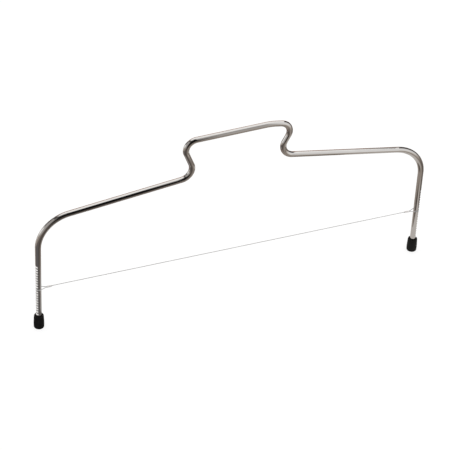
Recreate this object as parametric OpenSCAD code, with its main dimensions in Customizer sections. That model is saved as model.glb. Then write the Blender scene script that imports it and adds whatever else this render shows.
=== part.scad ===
// Cake leveler: one bent steel rod on two rubber feet, with a thin cutting wire
// looped round both legs and held in rows of notches on their outer sides.
// The frame stands in the XZ plane. The origin is on the surface that the feet
// stand on, midway between them, with +X to the right and +Z up.

/* [Frame rod] */
// Diameter of the round steel rod
rod_d = 4.4; // [3.5:0.1:5]
// Distance between the centre lines of the two legs
leg_span = 310; // [260:1:360]
// Height at which the leg and the top bar would meet without their round corner
corner_z = 100; // [90:0.5:120]
// Centre line radius of the bend between a leg and the top bar
corner_r = 27.5; // [18:0.5:32]

// Growth of the rod's diameter where it is bent
bend_swell = 0.1; // [0.04:0.02:0.2]

/* [Handle] */
// Distance between the two necks, where the top bars would meet them
neck_span = 64; // [56:1:76]
// Rise of the left top bar from its corner to its neck
left_neck_rise = 16; // [10:0.5:21]
// Rise of the right top bar from its corner to its neck
right_neck_rise = 21; // [15:0.5:23]
// Centre line radius of the bend between a top bar and its neck
neck_r = 9.5; // [7:0.5:11]
// Length of the handle between the points where the necks would meet it
handle_span = 90; // [86:1:100]
// Height of the handle's left end above the corners of the frame
left_end_rise = 48.5; // [45:0.5:52]
// Height of the handle's crown above the corners of the frame
crown_rise = 51; // [49:0.5:52.5]
// Distance of the crown to the right of the middle
crown_x = 26; // [10:1:27]
// Centre line radius of the gentle bend at the crown
crown_r = 50; // [30:5:60]
// Height of the handle's right end above the corners of the frame
right_end_rise = 47.5; // [45:0.5:51]
// Centre line radius of the bends at the ends of the handle
handle_r = 8.5; // [6:0.5:9]

/* [Notches] */
// Number of notches on each leg
notch_count = 20; // [14:6:20]
// Distance from one notch to the next
notch_pitch = 2.4; // [2.3:0.1:2.6]
// Height of the lowest notch
notch_first_z = 13.6; // [13:0.1:18]
// Depth of a notch below the round of the rod
notch_depth = 1.3; // [0.9:0.1:1.4]
// Width of a notch at its flat floor
notch_floor = 1; // [0.8:0.1:1.2]
// Width of a notch at the round of the rod
notch_mouth = 1.9; // [1.4:0.1:2.2]
// The notch of the left leg that the wire lies in, counted up from 0 at the lowest
wire_notch = 10; // [0:1:12]
// Number of notches by which the wire lies higher on the right leg
wire_skew = 1; // [0:1:3]

/* [Cutting wire] */
// Diameter of the cutting wire
wire_d = 0.5; // [0.4:0.05:0.6]
// Gap between the wire and the rod that its loops go round
wire_gap = 0.08; // [0.06:0.01:0.2]
// Centre line radius of the wire's bends
wire_bend_r = 0.7; // [0.5:0.05:0.8]
// Distance from a leg's centre line to the point where its loop closes
loop_reach = 6; // [5.5:0.1:8]
// Free end of the wire beyond its crimp
tail_end = 0.5; // [0.2:0.1:2]

// Growth of the wire's diameter where it is bent
wire_swell = 0.02; // [0.02:0.01:0.04]

/* [Crimps] */
// Length of the crimped sleeve that closes each loop
crimp_len = 3.5; // [2.5:0.1:6]
// Wall of the crimped sleeve
crimp_wall = 0.25; // [0.2:0.01:0.4]
// Gap between the sleeve and the strands in it
crimp_gap = 0.02; // [0.01:0.01:0.05]
// Distance from the point where a loop closes to its crimp
crimp_offset = 0.5; // [0.4:0.1:1.5]

/* [Feet] */
// Height of a rubber foot
foot_h = 11.3; // [9:0.1:12.5]
// Diameter of a foot at the floor, without its rounded edge
foot_base_d = 8; // [6.8:0.1:9]
// Diameter of a foot at its widest place, a little above the floor
foot_d = 8.2; // [7.6:0.1:10]
// Diameter of a foot at its mouth, without its rounded rim
foot_mouth_d = 7.5; // [6.4:0.1:8]
// Height of the widest place of a foot
foot_wide_z = 4; // [2.5:0.5:6]
// Radius of the rounded edge at the bottom of a foot
foot_bottom_r = 0.6; // [0.4:0.1:1.5]
// Radius of the rounded rim at the mouth of a foot
foot_rim_r = 0.6; // [0.3:0.1:0.8]
// Thickness of rubber below the end of the rod
foot_floor = 2.2; // [1.5:0.1:3.5]
// Gap between the rod and the bore of a foot
foot_gap = 0.05; // [0.02:0.01:0.1]

/* [Hidden] */

$fn = 48;
// How far straight stretches run into the bends of the rod and of the wire
bend_lap = 0.2;
wire_lap = 0.05;
rod_r = rod_d / 2;
wire_r = wire_d / 2;
half_span = leg_span / 2;

// Height of the wire halfway between the legs, and its slope up to the right
wire_z = notch_first_z + (wire_notch + wire_skew / 2) * notch_pitch;
wire_tilt = atan(wire_skew * notch_pitch / leg_span);

// Corners of the frame's centre line as [x, z], from the left foot to the right one
frame_corners = [
    [-half_span, foot_floor],
    [-half_span, corner_z],
    [-neck_span / 2, corner_z + left_neck_rise],
    [-handle_span / 2, corner_z + left_end_rise],
    [crown_x, corner_z + crown_rise],
    [handle_span / 2, corner_z + right_end_rise],
    [neck_span / 2, corner_z + right_neck_rise],
    [half_span, corner_z],
    [half_span, foot_floor],
];
frame_radii = [0, corner_r, neck_r, handle_r, crown_r, handle_r, neck_r, corner_r, 0];

// Centre lines of the wire: beside the rod, and in a notch on its outer side
strand_y = rod_r + wire_gap + wire_r;
notch_floor_x = half_span + rod_r - notch_depth;
outer_x = notch_floor_x + wire_gap + wire_r;
loop_close_x = half_span - loop_reach;
shoulder_x = half_span - wire_bend_r;
// The wire's tail lies beside it in the crimp
tail_y = wire_d + crimp_gap;
crimp_outer_x = loop_close_x - crimp_offset;
crimp_inner_x = crimp_outer_x - crimp_len;
tail_x = crimp_inner_x - tail_end;

// Corners of the loop round the right leg as [x, y], from the straight span to the tail
loop_corners = [
    [loop_close_x, 0],
    [shoulder_x, strand_y],
    [outer_x, strand_y],
    [outer_x, -strand_y],
    [shoulder_x, -strand_y],
    [loop_close_x, -tail_y],
    [tail_x, -tail_y],
];
last_corner = len(loop_corners) - 1;
mirrored_loop = [for (i = [last_corner : -1 : 0]) [-loop_corners[i][0], loop_corners[i][1]]];
wire_corners = concat(mirrored_loop, loop_corners);
wire_last = len(wire_corners) - 1;
wire_radii = [for (i = [0 : wire_last]) i == 0 || i == wire_last ? 0 : wire_bend_r];

// Geometry of a path with rounded corners
function direction(a, b) = (b - a) / norm(b - a);
function turn(pts, i) =
    let (u = direction(pts[i - 1], pts[i]), v = direction(pts[i], pts[i + 1]))
    atan2(u[0] * v[1] - u[1] * v[0], u * v);
function setback(pts, radii, i) =
    i == 0 || i == len(pts) - 1 ? 0 : radii[i] * tan(abs(turn(pts, i)) / 2);

// A round bar along a path of straight stretches and round bends, in the XY plane.
// A bend is thicker by the swell, and the straight stretches run into it by the lap.
module bent_bar(pts, radii, d, swell, lap) {
    last = len(pts) - 1;
    for (i = [0 : last - 1]) {
        u = direction(pts[i], pts[i + 1]);
        start = pts[i] + u * (setback(pts, radii, i) - (i > 0 ? lap : 0));
        end = pts[i + 1] - u * (setback(pts, radii, i + 1) - (i < last - 1 ? lap : 0));
        translate([start[0], start[1], 0])
            rotate([0, 0, atan2(u[1], u[0])])
                rotate([0, 90, 0])
                    cylinder(h = norm(end - start), d = d);
    }
    for (i = [1 : last - 1]) {
        u = direction(pts[i - 1], pts[i]);
        v = direction(pts[i], pts[i + 1]);
        side = sign(turn(pts, i));
        back = setback(pts, radii, i);
        start = pts[i] - u * back;
        centre = start + radii[i] * side * [-u[1], u[0]];
        spoke = side > 0 ? start - centre : pts[i] + v * back - centre;
        translate([centre[0], centre[1], 0])
            rotate([0, 0, atan2(spoke[1], spoke[0])])
                rotate_extrude(angle = abs(turn(pts, i)))
                    translate([radii[i], 0])
                        circle(d = d + swell);
    }
}

// The material that one notch takes out of the outer side of the right leg
module notch_cut() {
    slope = (notch_mouth - notch_floor) / 2 / notch_depth;
    reach = 2 * notch_depth;
    mouth = notch_floor + 2 * slope * reach;
    translate([notch_floor_x, rod_d, 0])
        rotate([90, 0, 0])
            linear_extrude(height = 2 * rod_d)
                polygon([
                    [0, -notch_floor / 2],
                    [reach, -mouth / 2],
                    [reach, mouth / 2],
                    [0, notch_floor / 2],
                ]);
}

module notch_row() {
    for (i = [0 : notch_count - 1])
        translate([0, 0, notch_first_z + i * notch_pitch])
            notch_cut();
}

module frame() {
    color([0.78, 0.77, 0.76])
        difference() {
            rotate([90, 0, 0])
                bent_bar(frame_corners, frame_radii, rod_d, bend_swell, bend_lap);
            notch_row();
            mirror([1, 0, 0])
                notch_row();
        }
}

// Half outline of a foot: flat bottom, rounded edge, widest place, taper and rounded rim
module foot_outline() {
    base_r = foot_base_d / 2;
    mouth_r = foot_mouth_d / 2;
    difference() {
        union() {
            square([base_r - foot_bottom_r, foot_wide_z]);
            translate([base_r - foot_bottom_r, foot_bottom_r])
                circle(r = foot_bottom_r);
            polygon([
                [0, foot_bottom_r],
                [base_r, foot_bottom_r],
                [foot_d / 2, foot_wide_z],
                [mouth_r, foot_h - foot_rim_r],
                [0, foot_h - foot_rim_r],
            ]);
            square([mouth_r - foot_rim_r, foot_h]);
            translate([mouth_r - foot_rim_r, foot_h - foot_rim_r])
                circle(r = foot_rim_r);
        }
        translate([0, foot_floor])
            square([rod_r + foot_gap, foot_h]);
        translate([-foot_d, 0])
            square([foot_d, 2 * foot_h]);
    }
}

module foot(x) {
    color([0.07, 0.07, 0.08])
        translate([x, 0, 0])
            rotate_extrude()
                foot_outline();
}

module left_foot() {
    foot(-half_span);
}

module right_foot() {
    foot(half_span);
}

// Puts a piece that is made round the origin at the height and slope of the wire
module at_wire() {
    translate([0, 0, wire_z])
        rotate([0, -wire_tilt, 0])
            children();
}

module cutting_wire() {
    color([0.86, 0.86, 0.85])
        at_wire()
            bent_bar(wire_corners, wire_radii, wire_d, wire_swell, wire_lap);
}

// An oval outline round the wire and its tail, grown by a margin
module strand_oval(margin) {
    for (y = [0, -tail_y])
        translate([y, 0])
            circle(d = wire_d + 2 * margin);
    translate([-tail_y, -wire_r - margin])
        square([tail_y, wire_d + 2 * margin]);
}

// The sleeve on the right-hand loop
module crimp() {
    color([0.62, 0.62, 0.63])
        translate([crimp_inner_x, 0, 0])
            rotate([90, 0, 90])
                linear_extrude(height = crimp_len)
                    difference() {
                        strand_oval(crimp_gap + crimp_wall);
                        strand_oval(crimp_gap);
                    }
}

module left_crimp() {
    at_wire()
        mirror([1, 0, 0])
            crimp();
}

module right_crimp() {
    at_wire()
        crimp();
}

frame();
left_foot();
right_foot();
cutting_wire();
left_crimp();
right_crimp();
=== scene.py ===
"""Looks of the cake leveler: a bent chrome rod on two rubber feet, with a thin
cutting wire looped round both legs. Sizes are in millimetres and meshes in metres."""

from math import acos, atan, atan2, cos, degrees, hypot, pi, radians, sin, tan

import bmesh
import bpy
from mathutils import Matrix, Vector


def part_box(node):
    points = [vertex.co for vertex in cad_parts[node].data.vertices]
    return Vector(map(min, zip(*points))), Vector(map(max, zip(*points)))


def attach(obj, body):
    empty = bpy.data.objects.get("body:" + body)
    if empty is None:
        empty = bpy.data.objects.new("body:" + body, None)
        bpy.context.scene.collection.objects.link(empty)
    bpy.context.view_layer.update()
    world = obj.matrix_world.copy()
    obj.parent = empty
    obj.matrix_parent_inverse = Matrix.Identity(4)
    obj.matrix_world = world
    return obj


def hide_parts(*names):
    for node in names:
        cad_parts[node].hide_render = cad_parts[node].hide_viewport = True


MM = 0.001
SAME_PLACE = 1e-6
ROUNDING = 1e-9
MERGE_DISTANCE = 1e-7
LEAST_BEND_STEPS = 4

# The frame's centre line, as the solids have it
CORNER_Z = 100
CORNER_R = 27.5
NECK_SPAN = 64
LEFT_NECK_RISE = 16
RIGHT_NECK_RISE = 21
NECK_R = 9.5
HANDLE_SPAN = 90
LEFT_END_RISE = 48.5
CROWN_RISE = 51
CROWN_X = 26
CROWN_R = 50
RIGHT_END_RISE = 47.5
HANDLE_R = 8.5

# The rod, which is pressed a little flat in its sharper bends
ROD_D = 4.4
END_CHAMFER = 0.4
PRESS_WIDE = 0.28
PRESS_THIN = 0.16
PRESS_EASE = 0.6
PRESSED_TURN = 1
ROD_SIDES_IN_NOTCH = 24
ROD_SIDES_ROUND = 40
ROD_STEP = 3.0
ROD_BEND_STEP = 0.6

# Notches on the outer side of each leg
NOTCH_COUNT = 20
NOTCH_PITCH = 2.4
NOTCH_FIRST_Z = 13.6
NOTCH_DEPTH = 1.3
NOTCH_FLOOR = 1.0
NOTCH_MOUTH = 1.9
NOTCH_FACE_ROWS = 3
LIP_STEP = 0.2

# The cutting wire and its loops
WIRE_SKEW = 1
WIRE_D = 0.5
WIRE_GAP = 0.08
WIRE_BEND_R = 0.7
LOOP_REACH = 6
TAIL_END = 0.5
WIRE_SIDES = 16
WIRE_STEP = 12
WIRE_BEND_STEP = 0.12
WIRE_END_LEN = 0.06
WIRE_END_SHARE = 0.7

# The sleeves crimped on the loops
CRIMP_LEN = 3.5
CRIMP_WALL = 0.25
CRIMP_GAP = 0.02
CRIMP_OFFSET = 0.5
CRIMP_EDGE = 0.08
CRIMP_PRESS = 0.07
CRIMP_BANDS = (0.3, 0.7)
CRIMP_BAND_WIDTH = 0.22
CRIMP_BAND_EASE = 0.5
CRIMP_STEPS = 28
OVAL_STEPS = 12

# The rubber feet
FOOT_BASE_D = 8
FOOT_WIDE_Z = 4
FOOT_MOUTH_D = 7.5
FOOT_BOTTOM_R = 0.6
FOOT_RIM_R = 0.6
FOOT_FLOOR = 2.2
FOOT_GAP = 0.05
FOOT_LIP = 0.25
FOOT_LIP_ROUND = 0.3
FOOT_BORE_RING = 0.6
FOOT_HOLLOW = 0.15
FOOT_HOLLOW_STEP = 0.08
FOOT_HOLLOW_FLAT = 0.35
FOOT_HOLLOW_EDGE = 0.5
FOOT_TREAD = 0.3
FOOT_TAPER_EASE = 1.3
FOOT_SIDES = 72
EDGE_STEPS = 8
BELLY_STEPS = 7
TAPER_STEPS = 12
FOOT_SEAM = 0.04
SEAM_HALF_ANGLE = 1.5
SEAM_ANGLES = (-2, -1, 1, 2)
SEAM_LOW_Z = 0.3
SEAM_BELOW_TOP = 0.2
SEAM_LEAST_WALL = 1

# Edges that turn by more than these angles stay sharp
ROD_SHARP = 20
CRIMP_SHARP = 35
ROUND_SHARP = 50

# The materials' noise: its usual range, and its waves to a metre along each axis
NOISE_LOW = 0.3
NOISE_HIGH = 0.7
DRAW_WAVES = 60
CLOUD_WAVES = (90, 260, 260)
GRAIN_WAVES = (2600, 2600, 2600)
DUST_WAVES = (330, 330, 240)
DRAW_RELIEF = 0.02
GRAIN_RELIEF = 0.05

# The camera, found from the photograph: place in metres, angles in degrees
CAMERA_AT = (-0.5057, -1.2145, 1.1021)
CAMERA_AZIMUTH = -22.32
CAMERA_ELEVATION = 38.36
CAMERA_ROLL = 3.07
CAMERA_LENS = 176
SENSOR = 36
CLIP_END = 50


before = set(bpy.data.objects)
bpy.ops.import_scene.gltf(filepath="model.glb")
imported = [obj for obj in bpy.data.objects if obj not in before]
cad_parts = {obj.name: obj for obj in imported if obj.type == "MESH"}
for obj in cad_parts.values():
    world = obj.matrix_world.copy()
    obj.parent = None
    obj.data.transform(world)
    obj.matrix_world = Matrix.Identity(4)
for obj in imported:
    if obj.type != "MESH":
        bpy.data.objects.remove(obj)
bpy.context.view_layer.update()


def node_centre(node):
    """The middle of a CAD node's box, in millimetres."""
    low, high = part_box(node)
    return (low + high) / (2 * MM)


def node_size(node):
    """The sides of a CAD node's box, in millimetres."""
    low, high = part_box(node)
    return (high - low) / MM


LEG_X = node_centre("right_foot").x
FOOT_D = node_size("right_foot").x
FOOT_H = node_size("right_foot").z
WIRE_Z = node_centre("cutting_wire").z
ROD_R = ROD_D / 2
WIRE_R = WIRE_D / 2
WIRE_TILT = atan(WIRE_SKEW * NOTCH_PITCH / (2 * LEG_X))


# Paths with rounded corners

def heading_of(start, end):
    """The direction from one flat point to another, as an angle."""
    return atan2(end[1] - start[1], end[0] - start[0])


def stepped(point, heading, distance):
    """The flat point at a distance from another one, in a direction."""
    return (point[0] + distance * cos(heading), point[1] + distance * sin(heading))


def rounded_path(corners, radii, straight_step, bend_step):
    """Stations along a flat path: point, heading, length so far and how far it is pressed."""
    stations = []
    length = 0.0
    here = corners[0]
    for i in range(1, len(corners)):
        heading = heading_of(corners[i - 1], corners[i])
        turn = 0.0
        if i < len(corners) - 1:
            turn = (heading_of(corners[i], corners[i + 1]) - heading + pi) % (2 * pi) - pi
        end = stepped(corners[i], heading, -radii[i] * tan(abs(turn) / 2))
        run = hypot(end[0] - here[0], end[1] - here[1])
        count = max(1, round(run / straight_step))
        for k in range(count):
            done = run * k / count
            stations.append((stepped(here, heading, done), heading, length + done, 0.0))
        length += run
        if i == len(corners) - 1:
            stations.append((end, heading, length, 0.0))
            break
        spoke = pi / 2 if turn > 0 else -pi / 2
        centre = stepped(end, heading + spoke, radii[i])
        arc = abs(turn) * radii[i]
        count = max(LEAST_BEND_STEPS, round(arc / bend_step))
        for k in range(count):
            t = k / count
            angle = heading + t * turn
            press = sin(pi * t) ** PRESS_EASE if k and abs(turn) > PRESSED_TURN else 0.0
            point = stepped(centre, angle - spoke, radii[i])
            stations.append((point, angle, length + t * arc, press))
        length += arc
        here = stepped(centre, heading + turn - spoke, radii[i])
    return stations


def frame_path():
    """The rod's centre line as (x, z), from the left foot over the handle to the right one."""
    neck_x, handle_x = NECK_SPAN / 2, HANDLE_SPAN / 2
    corners = [
        (-LEG_X, FOOT_FLOOR),
        (-LEG_X, CORNER_Z),
        (-neck_x, CORNER_Z + LEFT_NECK_RISE),
        (-handle_x, CORNER_Z + LEFT_END_RISE),
        (CROWN_X, CORNER_Z + CROWN_RISE),
        (handle_x, CORNER_Z + RIGHT_END_RISE),
        (neck_x, CORNER_Z + RIGHT_NECK_RISE),
        (LEG_X, CORNER_Z),
        (LEG_X, FOOT_FLOOR),
    ]
    radii = [0, CORNER_R, NECK_R, HANDLE_R, CROWN_R, HANDLE_R, NECK_R, CORNER_R, 0]
    return rounded_path(corners, radii, ROD_STEP, ROD_BEND_STEP)


def wire_path():
    """The wire's centre line as (x, y): tail, loop, straight part, loop and tail."""
    strand_y = ROD_R + WIRE_GAP + WIRE_R
    outer_x = LEG_X + ROD_R - NOTCH_DEPTH + WIRE_GAP + WIRE_R
    shoulder_x = LEG_X - WIRE_BEND_R
    close_x = LEG_X - LOOP_REACH
    tail_y = WIRE_D + CRIMP_GAP
    tail_x = close_x - CRIMP_OFFSET - CRIMP_LEN - TAIL_END
    loop = [
        (close_x, 0),
        (shoulder_x, strand_y),
        (outer_x, strand_y),
        (outer_x, -strand_y),
        (shoulder_x, -strand_y),
        (close_x, -tail_y),
        (tail_x, -tail_y),
    ]
    corners = [(-x, y) for x, y in reversed(loop)] + loop
    return rounded_path(corners, [WIRE_BEND_R] * len(corners), WIRE_STEP, WIRE_BEND_STEP)


def at_wire(x, y, z):
    """Puts a point of a piece that is made round the origin at the wire's height and slope."""
    along, up = cos(WIRE_TILT), sin(WIRE_TILT)
    return (x * along - z * up, y, WIRE_Z + x * up + z * along)


# Meshes

def finish_mesh(name, bm, sharp_angle, materials):
    """Makes an object of bm, with smooth faces and sharp edges above an angle."""
    bmesh.ops.remove_doubles(bm, verts=bm.verts, dist=MERGE_DISTANCE)
    bmesh.ops.recalc_face_normals(bm, faces=bm.faces)
    for face in bm.faces:
        face.smooth = True
    mesh = bpy.data.meshes.new(name)
    bm.to_mesh(mesh)
    bm.free()
    mesh.set_sharp_from_angle(angle=radians(sharp_angle))
    piece = bpy.data.objects.new(name, mesh)
    bpy.context.scene.collection.objects.link(piece)
    for material in materials:
        mesh.materials.append(material)
    return piece


def skin_rings(bm, rings, closed_ends=True):
    """Joins rings with faces and returns the rows of faces. A ring is its points, and
    each point's place on the straightened bar, which the materials use."""
    layer = bm.verts.layers.float_vector.new("along")
    rows = []
    for points, places in rings:
        row = []
        for point, place in zip(points, places):
            vert = bm.verts.new(Vector(point) * MM)
            vert[layer] = Vector(place) * MM
            row.append(vert)
        rows.append(row)
    faces = []
    sides = len(rows[0])
    for lower, upper in zip(rows, rows[1:]):
        faces.append([
            bm.faces.new((lower[j], upper[j], upper[(j + 1) % sides], lower[(j + 1) % sides]))
            for j in range(sides)
        ])
    if closed_ends:
        for row, (points, places) in ((rows[0], rings[0]), (rows[-1], rings[-1])):
            centre = bm.verts.new(sum((Vector(p) for p in points), Vector()) * MM / sides)
            centre[layer] = Vector((places[0][0] * MM, 0, 0))
            for j in range(sides):
                bm.faces.new((row[j], row[(j + 1) % sides], centre))
    return faces


def rod_angles():
    """Angles round the rod from its outer side, with one on each long edge of a notch."""
    edge = acos((ROD_R - NOTCH_DEPTH) / ROD_R)
    inner = [-edge + 2 * edge * k / ROD_SIDES_IN_NOTCH for k in range(ROD_SIDES_IN_NOTCH)]
    round_part = 2 * pi - 2 * edge
    outer = [edge + round_part * k / ROD_SIDES_ROUND for k in range(ROD_SIDES_ROUND)]
    return inner + outer


def section_ring(station, angles, trim=0.0):
    """A ring round the frame's centre line, wider in the frame's plane where it is pressed."""
    (x, z), heading, length, press = station
    wide = ROD_R - trim + press * PRESS_WIDE
    thin = ROD_R - trim - press * PRESS_THIN
    points, places = [], []
    for a in angles:
        across_x, across_z = stepped((x, z), heading + pi / 2, wide * cos(a))
        points.append((across_x, thin * sin(a), across_z))
        places.append((length, ROD_R * cos(a), ROD_R * sin(a)))
    return points, places


def notch_rings(side, centre_z, rod_length, angles):
    """Four rings of one notch on the leg at side * LEG_X, in their order along the rod."""
    floor_out = ROD_R - NOTCH_DEPTH
    slope = (NOTCH_MOUTH - NOTCH_FLOOR) / 2 / NOTCH_DEPTH
    rings = []
    for direction, on_lip in ((-1, True), (-1, False), (1, False), (1, True)):
        points, places = [], []
        for a in angles:
            out, y = ROD_R * cos(a), ROD_R * sin(a)
            depth = out - floor_out
            reach = NOTCH_FLOOR / 2
            if depth < -ROUNDING:
                reach += LIP_STEP if on_lip else 0
            elif on_lip:
                reach += slope * depth
            else:
                out = floor_out
            z = centre_z + direction * reach
            length = z - FOOT_FLOOR if side < 0 else rod_length - (z - FOOT_FLOOR)
            points.append((side * (LEG_X + out), y, z))
            places.append((length, out, y))
        rings.append((points, places))
    return rings if side < 0 else rings[::-1]


def end_rings(station, inward, angles):
    """The chamfered end ring of the rod and the full ring next to it."""
    (x, z), heading, length, press = station
    full = ((x, z + END_CHAMFER), heading, length + inward * END_CHAMFER, press)
    return [section_ring(station, angles, END_CHAMFER), section_ring(full, angles)]


def rod_rings():
    """The rod's rings from the left foot to the right one, and where each notch starts."""
    angles = rod_angles()
    path = frame_path()
    rod_length = path[-1][2]
    heights = [NOTCH_FIRST_Z + i * NOTCH_PITCH for i in range(NOTCH_COUNT)]
    below, above = heights[0] - NOTCH_PITCH, heights[-1] + NOTCH_PITCH
    left, middle, right = [], [], []
    for station in path:
        x, z = station[0]
        if abs(abs(x) - LEG_X) > SAME_PLACE or z >= above:
            middle.append(station)
        elif z <= below:
            (left if x < 0 else right).append(station)
    rings, notch_starts = end_rings(left[0], 1, angles), []
    rings += [section_ring(station, angles) for station in left[1:]]
    for z in heights:
        notch_starts.append(len(rings))
        rings += notch_rings(-1, z, rod_length, angles)
    rings += [section_ring(station, angles) for station in middle]
    for z in reversed(heights):
        notch_starts.append(len(rings))
        rings += notch_rings(1, z, rod_length, angles)
    rings += [section_ring(station, angles) for station in right[:-1]]
    rings += end_rings(right[-1], -1, angles)[::-1]
    return rings, notch_starts


def build_rod(materials):
    """The whole bent rod, with both rows of notches in one skin."""
    rings, notch_starts = rod_rings()
    bm = bmesh.new()
    rows = skin_rings(bm, rings)
    for start in notch_starts:
        for row in rows[start:start + NOTCH_FACE_ROWS]:
            for face in row[:ROD_SIDES_IN_NOTCH]:
                face.material_index = 1
    return finish_mesh("rod_frame", bm, ROD_SHARP, materials)


def wire_ring(station, radius, inward=0.0):
    """A ring round the wire's centre line, moved inward along it."""
    point, heading, length, _ = station
    x, y = stepped(point, heading, inward)
    points, places = [], []
    for k in range(WIRE_SIDES):
        a = 2 * pi * k / WIRE_SIDES
        across_x, across_y = stepped((x, y), heading + pi / 2, radius * cos(a))
        points.append(at_wire(across_x, across_y, radius * sin(a)))
        places.append((length + inward, WIRE_R * cos(a), WIRE_R * sin(a)))
    return points, places


def build_wire(materials):
    """The wire with its loops and tails, slightly rounded at its two cut ends."""
    path = wire_path()
    rings = [wire_ring(path[0], WIRE_R * WIRE_END_SHARE)]
    rings.append(wire_ring(path[0], WIRE_R, WIRE_END_LEN))
    rings += [wire_ring(station, WIRE_R) for station in path[1:-1]]
    rings.append(wire_ring(path[-1], WIRE_R, -WIRE_END_LEN))
    rings.append(wire_ring(path[-1], WIRE_R * WIRE_END_SHARE))
    bm = bmesh.new()
    skin_rings(bm, rings)
    return finish_mesh("wire_strand", bm, ROUND_SHARP, materials)


def strand_oval(margin, squeeze=0.0):
    """Outline round the wire and its tail as (y, z), grown by a margin and pressed in height."""
    radius = WIRE_R + margin
    points = []
    for centre_y, start in ((0, -pi / 2), (-WIRE_D - CRIMP_GAP, pi / 2)):
        for k in range(OVAL_STEPS + 1):
            a = start + pi * k / OVAL_STEPS
            points.append((centre_y + radius * cos(a), (radius - squeeze) * sin(a)))
    return points


def band_press(t):
    """How deep the two pressed bands are at a share t of the sleeve's length."""
    depth = 0.0
    for band in CRIMP_BANDS:
        if abs(t - band) < CRIMP_BAND_WIDTH / 2:
            depth += max(0.0, cos(pi * (t - band) / CRIMP_BAND_WIDTH)) ** CRIMP_BAND_EASE
    return depth * CRIMP_PRESS


def build_crimp(name, side, materials):
    """An oval sleeve with rounded ends and two pressed bands."""
    inner_x = LEG_X - LOOP_REACH - CRIMP_OFFSET - CRIMP_LEN

    def ring(x, outline):
        points = [at_wire(side * (inner_x + x), y, z) for y, z in outline]
        return points, [(x, y, z) for y, z in outline]

    rings = []
    for k in range(CRIMP_STEPS + 1):
        t = k / CRIMP_STEPS
        from_end = min(t, 1 - t) * CRIMP_LEN
        rounded = max(0.0, 1 - from_end / CRIMP_EDGE) ** 2 * CRIMP_EDGE
        outline = strand_oval(CRIMP_GAP + CRIMP_WALL - rounded, band_press(t))
        rings.append(ring(t * CRIMP_LEN, outline))
    bore = strand_oval(CRIMP_GAP)
    rings += [ring(CRIMP_LEN, bore), ring(0, bore), rings[0]]
    bm = bmesh.new()
    skin_rings(bm, rings, closed_ends=False)
    return finish_mesh(name, bm, CRIMP_SHARP, materials)


def arc_points(centre, radius, start, end):
    """Points on an arc, without its first one."""
    angles = [start + (end - start) * k / EDGE_STEPS for k in range(1, EDGE_STEPS + 1)]
    return [stepped(centre, a, radius) for a in angles]


def foot_outline():
    """Half outline of a foot as (radius, height), from the middle of its base to its bore."""
    base = FOOT_BASE_D / 2 - FOOT_SEAM
    wide = FOOT_D / 2 - FOOT_SEAM
    mouth = FOOT_MOUTH_D / 2
    bore = ROD_R + FOOT_GAP
    top = FOOT_H - FOOT_RIM_R
    edge = base - FOOT_BOTTOM_R
    lip = FOOT_LIP * FOOT_LIP_ROUND
    points = [(0, FOOT_HOLLOW), (base * FOOT_HOLLOW_FLAT, FOOT_HOLLOW)]
    points += [(base * FOOT_HOLLOW_EDGE, FOOT_HOLLOW_STEP), (edge - FOOT_TREAD, 0), (edge, 0)]
    points += arc_points((edge, FOOT_BOTTOM_R), FOOT_BOTTOM_R, -pi / 2, 0)
    for k in range(1, BELLY_STEPS + 1):
        t = k / BELLY_STEPS
        z = FOOT_BOTTOM_R + t * (FOOT_WIDE_Z - FOOT_BOTTOM_R)
        points.append((base + (wide - base) * sin(pi / 2 * t), z))
    for k in range(1, TAPER_STEPS + 1):
        t = k / TAPER_STEPS
        z = FOOT_WIDE_Z + t * (top - FOOT_WIDE_Z)
        points.append((wide + (mouth - wide) * t ** FOOT_TAPER_EASE, z))
    points += arc_points((mouth - FOOT_RIM_R, top), FOOT_RIM_R, 0, pi / 2)
    points += [(bore + FOOT_LIP, FOOT_H), (bore + lip, FOOT_H - lip)]
    points += [(bore, FOOT_H - FOOT_LIP), (bore, FOOT_H * FOOT_BORE_RING)]
    return points + [(bore, FOOT_FLOOR), (0, FOOT_FLOOR)]


def foot_angles():
    """Angles round a foot, with closer ones at the two parting lines."""
    angles = [2 * pi * k / FOOT_SIDES for k in range(FOOT_SIDES)]
    for seam in (0, pi):
        angles += [(seam + radians(off)) % (2 * pi) for off in SEAM_ANGLES]
    return sorted(angles)


def seam_height(angle):
    """How far the parting line stands out at an angle round the foot."""
    off = degrees(min(angle % pi, pi - angle % pi))
    return FOOT_SEAM * max(0.0, 1 - off / SEAM_HALF_ANGLE)


def build_foot(name, side, materials):
    """A moulded rubber cap with a fine parting line on two sides."""
    angles = foot_angles()
    centre = (side * LEG_X, 0)
    bm = bmesh.new()
    rows = []
    for radius, z in foot_outline():
        if radius == 0:
            rows.append([bm.verts.new(Vector((*centre, z)) * MM)])
            continue
        has_seam = radius > ROD_R + SEAM_LEAST_WALL and SEAM_LOW_Z < z < FOOT_H - SEAM_BELOW_TOP
        row = []
        for a in angles:
            x, y = stepped(centre, a, radius + (seam_height(a) if has_seam else 0))
            row.append(bm.verts.new(Vector((x, y, z)) * MM))
        rows.append(row)
    sides = len(angles)
    for lower, upper in zip(rows, rows[1:]):
        for j in range(sides):
            k = (j + 1) % sides
            if len(lower) == 1:
                bm.faces.new((lower[0], upper[j], upper[k]))
            elif len(upper) == 1:
                bm.faces.new((lower[j], lower[k], upper[0]))
            else:
                bm.faces.new((lower[j], lower[k], upper[k], upper[j]))
    return finish_mesh(name, bm, ROUND_SHARP, materials)


# Materials

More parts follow.
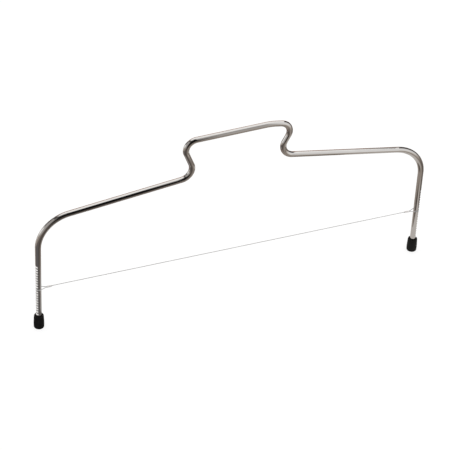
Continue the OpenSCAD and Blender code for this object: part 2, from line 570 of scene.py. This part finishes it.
def new_material(name):
    """A material with its shader's node, and a function that adds linked nodes."""
    material = bpy.data.materials.new(name)
    material.use_nodes = True
    tree = material.node_tree
    shader = tree.nodes["Principled BSDF"]

    def add(kind, settings=None, **sockets):
        node = tree.nodes.new(kind)
        for key, value in (settings or {}).items():
            setattr(node, key, value)
        for key, value in sockets.items():
            socket = node.inputs[key.replace("_", " ")]
            if isinstance(value, bpy.types.NodeSocket):
                tree.links.new(value, socket)
            else:
                socket.default_value = value
        return node

    return material, shader, add


def stretched_noise(add, place, scale, detail):
    """Noise on a place that is scaled apart along each axis."""
    scaled = add("ShaderNodeMapping", Vector=place, Scale=scale)
    noise = add("ShaderNodeTexNoise", Vector=scaled.outputs["Vector"], Scale=1.0, Detail=detail)
    return noise.outputs["Fac"]


def spread(add, value, low, high):
    """Takes noise from around its middle to a range."""
    limits = {"From_Min": NOISE_LOW, "From_Max": NOISE_HIGH, "To_Min": low, "To_Max": high}
    return add("ShaderNodeMapRange", Value=value, **limits).outputs["Result"]


def link_looks(material, shader, add, dark, light, tone, rough):
    """Links a colour between dark and light, and a roughness, to the shader."""
    mix = add("ShaderNodeMix", {"data_type": "RGBA"}, Factor=tone, A=(*dark, 1), B=(*light, 1))
    material.node_tree.links.new(mix.outputs["Result"], shader.inputs["Base Color"])
    material.node_tree.links.new(rough, shader.inputs["Roughness"])


def link_relief(material, shader, add, height, strength, depth):
    """Links a bump to the shader."""
    relief = add("ShaderNodeBump", Height=height, Strength=strength, Distance=depth * MM)
    material.node_tree.links.new(relief.outputs["Normal"], shader.inputs["Normal"])


def drawn_steel(name, dark, light, rough, lines, bump, metallic):
    """Steel with draw lines along the bar and a slightly uneven polish."""
    material, shader, add = new_material(name)
    place = add("ShaderNodeAttribute", {"attribute_name": "along"}).outputs["Vector"]
    draw = stretched_noise(add, place, (DRAW_WAVES, lines, lines), detail=3)
    cloud = stretched_noise(add, place, CLOUD_WAVES, detail=4)
    tone = spread(add, cloud, 0, 1)
    link_looks(material, shader, add, dark, light, tone, spread(add, draw, *rough))
    link_relief(material, shader, add, draw, strength=bump, depth=DRAW_RELIEF)
    shader.inputs["Metallic"].default_value = metallic
    return material


def rod_chrome():
    return drawn_steel(
        "rod_chrome", dark=(0.73, 0.72, 0.715), light=(0.78, 0.775, 0.77),
        rough=(0.015, 0.05), lines=5200, bump=0.04, metallic=1.0,
    )


def notch_chrome():
    return drawn_steel(
        "notch_chrome", dark=(0.90, 0.89, 0.88), light=(0.96, 0.95, 0.94),
        rough=(0.3, 0.42), lines=7000, bump=0.2, metallic=0.2,
    )


def strand_steel():
    return drawn_steel(
        "strand_steel", dark=(0.50, 0.50, 0.50), light=(0.58, 0.58, 0.58),
        rough=(0.3, 0.4), lines=16000, bump=0.1, metallic=0.45,
    )


def sleeve_steel():
    return drawn_steel(
        "sleeve_steel", dark=(0.80, 0.80, 0.80), light=(0.90, 0.90, 0.90),
        rough=(0.32, 0.45), lines=6000, bump=0.2, metallic=0.7,
    )


def foot_rubber():
    """Black moulded rubber with a fine matt grain and a little dust."""
    material, shader, add = new_material("foot_rubber")
    place = add("ShaderNodeTexCoord").outputs["Object"]
    grain = stretched_noise(add, place, GRAIN_WAVES, detail=4)
    dust = stretched_noise(add, place, DUST_WAVES, detail=5)
    dark, light = (0.002, 0.002, 0.002), (0.007, 0.0065, 0.0065)
    tone = spread(add, dust, 0, 1)
    link_looks(material, shader, add, dark, light, tone, spread(add, dust, 0.5, 0.68))
    link_relief(material, shader, add, grain, strength=0.35, depth=GRAIN_RELIEF)
    shader.inputs["Specular IOR Level"].default_value = 0.2
    return material


# Pieces

def dress():
    """Builds each piece, puts it on the body that it rides on and hides the node that it
    replaces; the slot named in each row is not used.
    """
    rubber, sleeve = foot_rubber(), sleeve_steel()
    rows = [
        (build_rod([rod_chrome(), notch_chrome()]), "leveler", "chrome_rod", "frame"),
        (build_foot("foot_left", -1, [rubber]), "leveler", "black_rubber", "left_foot"),
        (build_foot("foot_right", 1, [rubber]), "leveler", "black_rubber", "right_foot"),
        (build_wire([strand_steel()]), "wire", "steel_wire", "cutting_wire"),
        (build_crimp("sleeve_left", -1, [sleeve]), "wire", "crimp_steel", "left_crimp"),
        (build_crimp("sleeve_right", 1, [sleeve]), "wire", "crimp_steel", "right_crimp"),
    ]
    for piece, body, slot, node in rows:
        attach(piece, body)
        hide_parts(node)


# Studio

METAL_REFLECTANCE = 0.75
FLOOR_HALF = 6
FLOOR_GREY = 0.25
FLOOR_GLOW = 0.79
# Tones of the cards, as the metal shows them: greys from dark to light, then warm ones
INK = (18, 17, 18)
COAL = (38, 36, 35)
CHARCOAL = (56, 53, 52)
SLATE = (72, 69, 67)
LEAD = (86, 83, 82)
ASH = (104, 101, 98)
STONE = (130, 126, 122)
FOG = (152, 148, 144)
SILVER = (174, 169, 164)
MIST = (193, 190, 187)
PEARL = (207, 205, 203)
CHALK = (225, 223, 220)
PAPER = (238, 236, 234)
SEPIA = (59, 53, 48)
BISTRE = (74, 68, 63)
UMBER = (89, 82, 77)
DRIFT = (109, 101, 95)
TAUPE = (135, 126, 118)
SAND = (156, 148, 140)
LINEN = (195, 189, 182)
WALNUT = (74, 42, 22)
OAK = (132, 84, 50)
# A room that only the polished metal sees. A wall has its fixed axis, 1 if it lies on that
# axis's high side, its tone, and soft-edged patches laid over each other. A patch has its
# low and high place along the wall's first axis, the same along its second one, the width
# of its soft edge, and its tone
ROOM_LOW = (-0.9, -0.5, -0.002)
ROOM_HIGH = (0.9, 0.6, 1.1)
ROOM = {
    "front": (1, 0, FOG, [
        (-0.43, 0.06, -0.4, 1.3, 0.11, ASH),
        (-0.70, -0.40, 0.68, 1.3, 0.06, SLATE),
        (-0.46, -0.20, 0.42, 0.72, 0.06, COAL),
        (0.06, 1.2, -0.4, 1.3, 0.012, FOG),
        (0.30, 1.2, -0.4, 1.3, 0.12, PEARL),
        (0.35, 1.2, -0.4, 0.00, 0.05, SILVER),
        (0.02, 0.30, 0.58, 1.3, 0.02, STONE),
        (0.04, 0.125, -0.10, 0.42, 0.015, LEAD),
        (-0.30, 0.07, -0.10, 0.56, 0.03, INK),
        (0.04, 0.115, -0.10, 0.15, 0.015, INK),
        (-0.16, 0.015, 0.50, 1.3, 0.03, INK),
    ]),
    "left": (0, 0, FOG, [
        (-0.26, 0.9, 0.09, 0.36, 0.05, MIST),
        (0.10, 0.9, 0.02, 0.36, 0.06, CHALK),
        (0.22, 0.9, 0.45, 1.3, 0.12, ASH),
    ]),
    "right": (0, 1, PEARL, [
        (-0.16, 1.2, -0.4, 1.3, 0.30, CHARCOAL),
        (-0.30, 1.2, -0.4, 0.03, 0.10, ASH),
    ]),
    "back": (1, 1, CHALK, [
        (-0.30, 1.2, -0.4, 0.42, 0.03, OAK),
        (-1.2, -0.36, 0.18, 1.3, 0.07, SLATE),
        (-0.68, -0.10, -0.4, 0.20, 0.05, LEAD),
        (-1.2, -0.68, -0.4, 0.18, 0.05, PAPER),
        (0.50, 1.2, -0.4, 0.62, 0.06, COAL),
        (0.78, 1.2, 0.62, 1.3, 0.05, FOG),
    ]),
    "below": (2, 0, TAUPE, [
        (-0.33, 0.03, -0.8, -0.07, 0.05, UMBER),
        (-0.30, -0.12, -0.12, 0.03, 0.03, LEAD),
        (-0.17, 0.06, -0.8, -0.27, 0.04, SEPIA),
        (-0.16, -0.06, -0.25, -0.04, 0.03, BISTRE),
        (-0.12, -0.09, -0.04, 0.05, 0.02, FOG),
        (-1.2, -0.28, 0.08, 0.90, 0.07, LINEN),
        (-0.20, 0.00, 0.07, 0.90, 0.03, WALNUT),
        (-0.085, 0.00, 0.01, 0.20, 0.02, WALNUT),
        (0.10, 1.2, -0.8, -0.15, 0.03, SAND),
        (0.06, 0.23, -0.15, 0.25, 0.03, TAUPE),
        (0.05, 0.21, -0.188, -0.158, 0.008, DRIFT),
        (0.080, 0.125, -0.070, -0.010, 0.012, BISTRE),
        (0.142, 0.185, -0.095, -0.030, 0.012, SILVER),
        (0.195, 0.235, -0.090, 0.060, 0.015, UMBER),
        (0.22, 0.70, -0.8, -0.24, 0.05, LINEN),
        (0.23, 0.38, -0.13, 0.02, 0.03, UMBER),
        (0.36, 1.2, -0.15, 0.90, 0.04, DRIFT),
        (0.02, 0.60, 0.30, 0.90, 0.05, OAK),
    ]),
    "above": (2, 1, CHALK, [
        (-0.70, 0.05, -0.8, -0.30, 0.10, STONE),
        (-1.3, -0.60, -0.8, 0.9, 0.14, SLATE),
        (0.10, 1.3, -0.8, -0.15, 0.10, PEARL),
        (-0.16, 0.01, -0.8, -0.40, 0.03, COAL),
    ]),
}
# Small sheets just above that room's floor, beside the legs: low and high x and y, and tone
SHEET_Z = -0.001
SHEETS = {
    "right": (0.122, 0.205, -0.045, 0.06, SILVER),
    "left": (-0.135, -0.118, -0.018, 0.06, FOG),
}


def linear(value):
    """The light behind a display value of 0 to 255."""
    value /= 255
    return value / 12.92 if value < 0.04045 else ((value + 0.055) / 1.055) ** 2.4


def seen(tone):
    """The light that the metal reflects as a tone."""
    return (*(linear(value) / METAL_REFLECTANCE for value in tone), 1)


def glow_material(name):
    """A material that only gives off light, with its tree and its emission's node."""
    material = bpy.data.materials.new(name)
    material.use_nodes = True
    material.cycles.emission_sampling = "NONE"
    tree = material.node_tree
    tree.nodes.clear()
    glow = tree.nodes.new("ShaderNodeEmission")
    out = tree.nodes.new("ShaderNodeOutputMaterial")
    tree.links.new(glow.outputs["Emission"], out.inputs["Surface"])
    return material, tree, glow


def soft_step(tree, value, limit, soft, rising):
    """1 above a limit and 0 below it, or the other way round, with a soft edge."""
    step = tree.nodes.new("ShaderNodeMapRange")
    step.interpolation_type = "SMOOTHSTEP"
    step.inputs["From Min"].default_value = limit - soft
    step.inputs["From Max"].default_value = limit + soft
    step.inputs["To Min"].default_value = 0 if rising else 1
    step.inputs["To Max"].default_value = 1 if rising else 0
    tree.links.new(value, step.inputs["Value"])
    return step.outputs["Result"]


def times(tree, first, second):
    """The product of two values."""
    product = tree.nodes.new("ShaderNodeMath")
    product.operation = "MULTIPLY"
    tree.links.new(first, product.inputs[0])
    tree.links.new(second, product.inputs[1])
    return product.outputs["Value"]


def patch_mask(tree, place_u, place_v, limits, soft):
    """1 inside a patch and 0 outside it."""
    low_u, high_u, low_v, high_v = limits
    mask = soft_step(tree, place_u, low_u, soft, True)
    mask = times(tree, mask, soft_step(tree, place_u, high_u, soft, False))
    mask = times(tree, mask, soft_step(tree, place_v, low_v, soft, True))
    return times(tree, mask, soft_step(tree, place_v, high_v, soft, False))


def patched_glow(name, axes, tone, patches):
    """A material that gives off a tone, with soft-edged patches of other tones."""
    material, tree, glow = glow_material(name)
    place = tree.nodes.new("ShaderNodeTexCoord")
    split = tree.nodes.new("ShaderNodeSeparateXYZ")
    tree.links.new(place.outputs["Object"], split.inputs["Vector"])
    place_u, place_v = (split.outputs[axis] for axis in axes)
    colour = None
    for *limits, soft, patch_tone in patches:
        mix = tree.nodes.new("ShaderNodeMix")
        mix.data_type = "RGBA"
        mix.inputs["A"].default_value = seen(tone)
        mix.inputs["B"].default_value = seen(patch_tone)
        tree.links.new(patch_mask(tree, place_u, place_v, limits, soft), mix.inputs["Factor"])
        if colour:
            tree.links.new(colour, mix.inputs["A"])
        colour = mix.outputs["Result"]
    tree.links.new(colour, glow.inputs["Color"])
    return material


def plain_glow(name, tone):
    """A material that gives off one tone."""
    material, _, glow = glow_material(name)
    glow.inputs["Color"].default_value = seen(tone)
    return material


def quad(name, corners, material):
    """A flat stage piece with four corners."""
    mesh = bpy.data.meshes.new(name)
    mesh.from_pydata(corners, [], [(0, 1, 2, 3)])
    mesh.materials.append(material)
    piece = bpy.data.objects.new(name, mesh)
    bpy.context.scene.collection.objects.link(piece)
    return piece


def card(name, corners, material):
    """A card that only the polished metal sees."""
    piece = quad(name, corners, material)
    piece.visible_camera = False
    piece.visible_diffuse = False
    piece.visible_shadow = False
    piece.visible_transmission = False


def room_wall(name, axis, high, tone, patches):
    """A wall, floor or ceiling of the room that the metal sees."""
    u, v = (k for k in range(3) if k != axis)
    ends = (ROOM_LOW, ROOM_HIGH)
    corners = []
    for at_u, at_v in ((0, 0), (1, 0), (1, 1), (0, 1)):
        corner = [0, 0, 0]
        corner[axis] = ends[high][axis]
        corner[u] = ends[at_u][u]
        corner[v] = ends[at_v][v]
        corners.append(corner)
    card("card_" + name, corners, patched_glow("glow_" + name, (u, v), tone, patches))


def sheet_card(name, x0, x1, y0, y1, tone):
    """A small sheet just above that room's floor."""
    corners = [(x, y, SHEET_Z) for x, y in ((x0, y0), (x1, y0), (x1, y1), (x0, y1))]
    card("sheet_" + name, corners, plain_glow("glow_sheet_" + name, tone))


def floor_white():
    """A white that reads as the page behind the object, with soft contact shade."""
    material, shader, _ = new_material("floor_white")
    shader.inputs["Base Color"].default_value = (FLOOR_GREY, FLOOR_GREY, FLOOR_GREY, 1)
    shader.inputs["Roughness"].default_value = 1
    shader.inputs["Specular IOR Level"].default_value = 0
    shader.inputs["Emission Color"].default_value = (1, 1, 1, 1)
    shader.inputs["Emission Strength"].default_value = FLOOR_GLOW
    return material


def studio():
    """The floor, the even white light from all sides, and the cards."""
    signs = ((-1, -1), (1, -1), (1, 1), (-1, 1))
    corners = [(x * FLOOR_HALF, y * FLOOR_HALF, 0) for x, y in signs]
    quad("floor", corners, floor_white()).visible_glossy = False

    world = bpy.data.worlds.new("studio")
    bpy.context.scene.world = world
    world.use_nodes = True
    background = world.node_tree.nodes["Background"]
    background.inputs["Color"].default_value = (1, 1, 1, 1)
    background.inputs["Strength"].default_value = 1

    for name, wall in ROOM.items():
        room_wall(name, *wall)
    for name, sheet in SHEETS.items():
        sheet_card(name, *sheet)


def add_camera():
    """The camera, turned to its place in the photograph and rolled a little."""
    azimuth, elevation = radians(CAMERA_AZIMUTH), radians(CAMERA_ELEVATION)
    back = Vector((
        sin(azimuth) * cos(elevation),
        -cos(azimuth) * cos(elevation),
        sin(elevation),
    ))
    camera_data = bpy.data.cameras.new("camera")
    camera_data.lens = CAMERA_LENS
    camera_data.sensor_width = SENSOR
    camera_data.clip_end = CLIP_END
    camera = bpy.data.objects.new("camera", camera_data)
    bpy.context.scene.collection.objects.link(camera)
    level = back.to_track_quat("Z", "Y").to_matrix()
    right, up = level.col[0], level.col[1]
    roll = radians(CAMERA_ROLL)
    x_axis = cos(roll) * right + sin(roll) * up
    y_axis = -sin(roll) * right + cos(roll) * up
    matrix = level.to_4x4()
    for row in range(3):
        matrix[row][0] = x_axis[row]
        matrix[row][1] = y_axis[row]
        matrix[row][2] = back[row]
        matrix[row][3] = CAMERA_AT[row]
    camera.matrix_world = matrix
    bpy.context.scene.camera = camera


add_camera()
dress()
studio()
bpy.context.scene.view_settings.view_transform = "Standard"
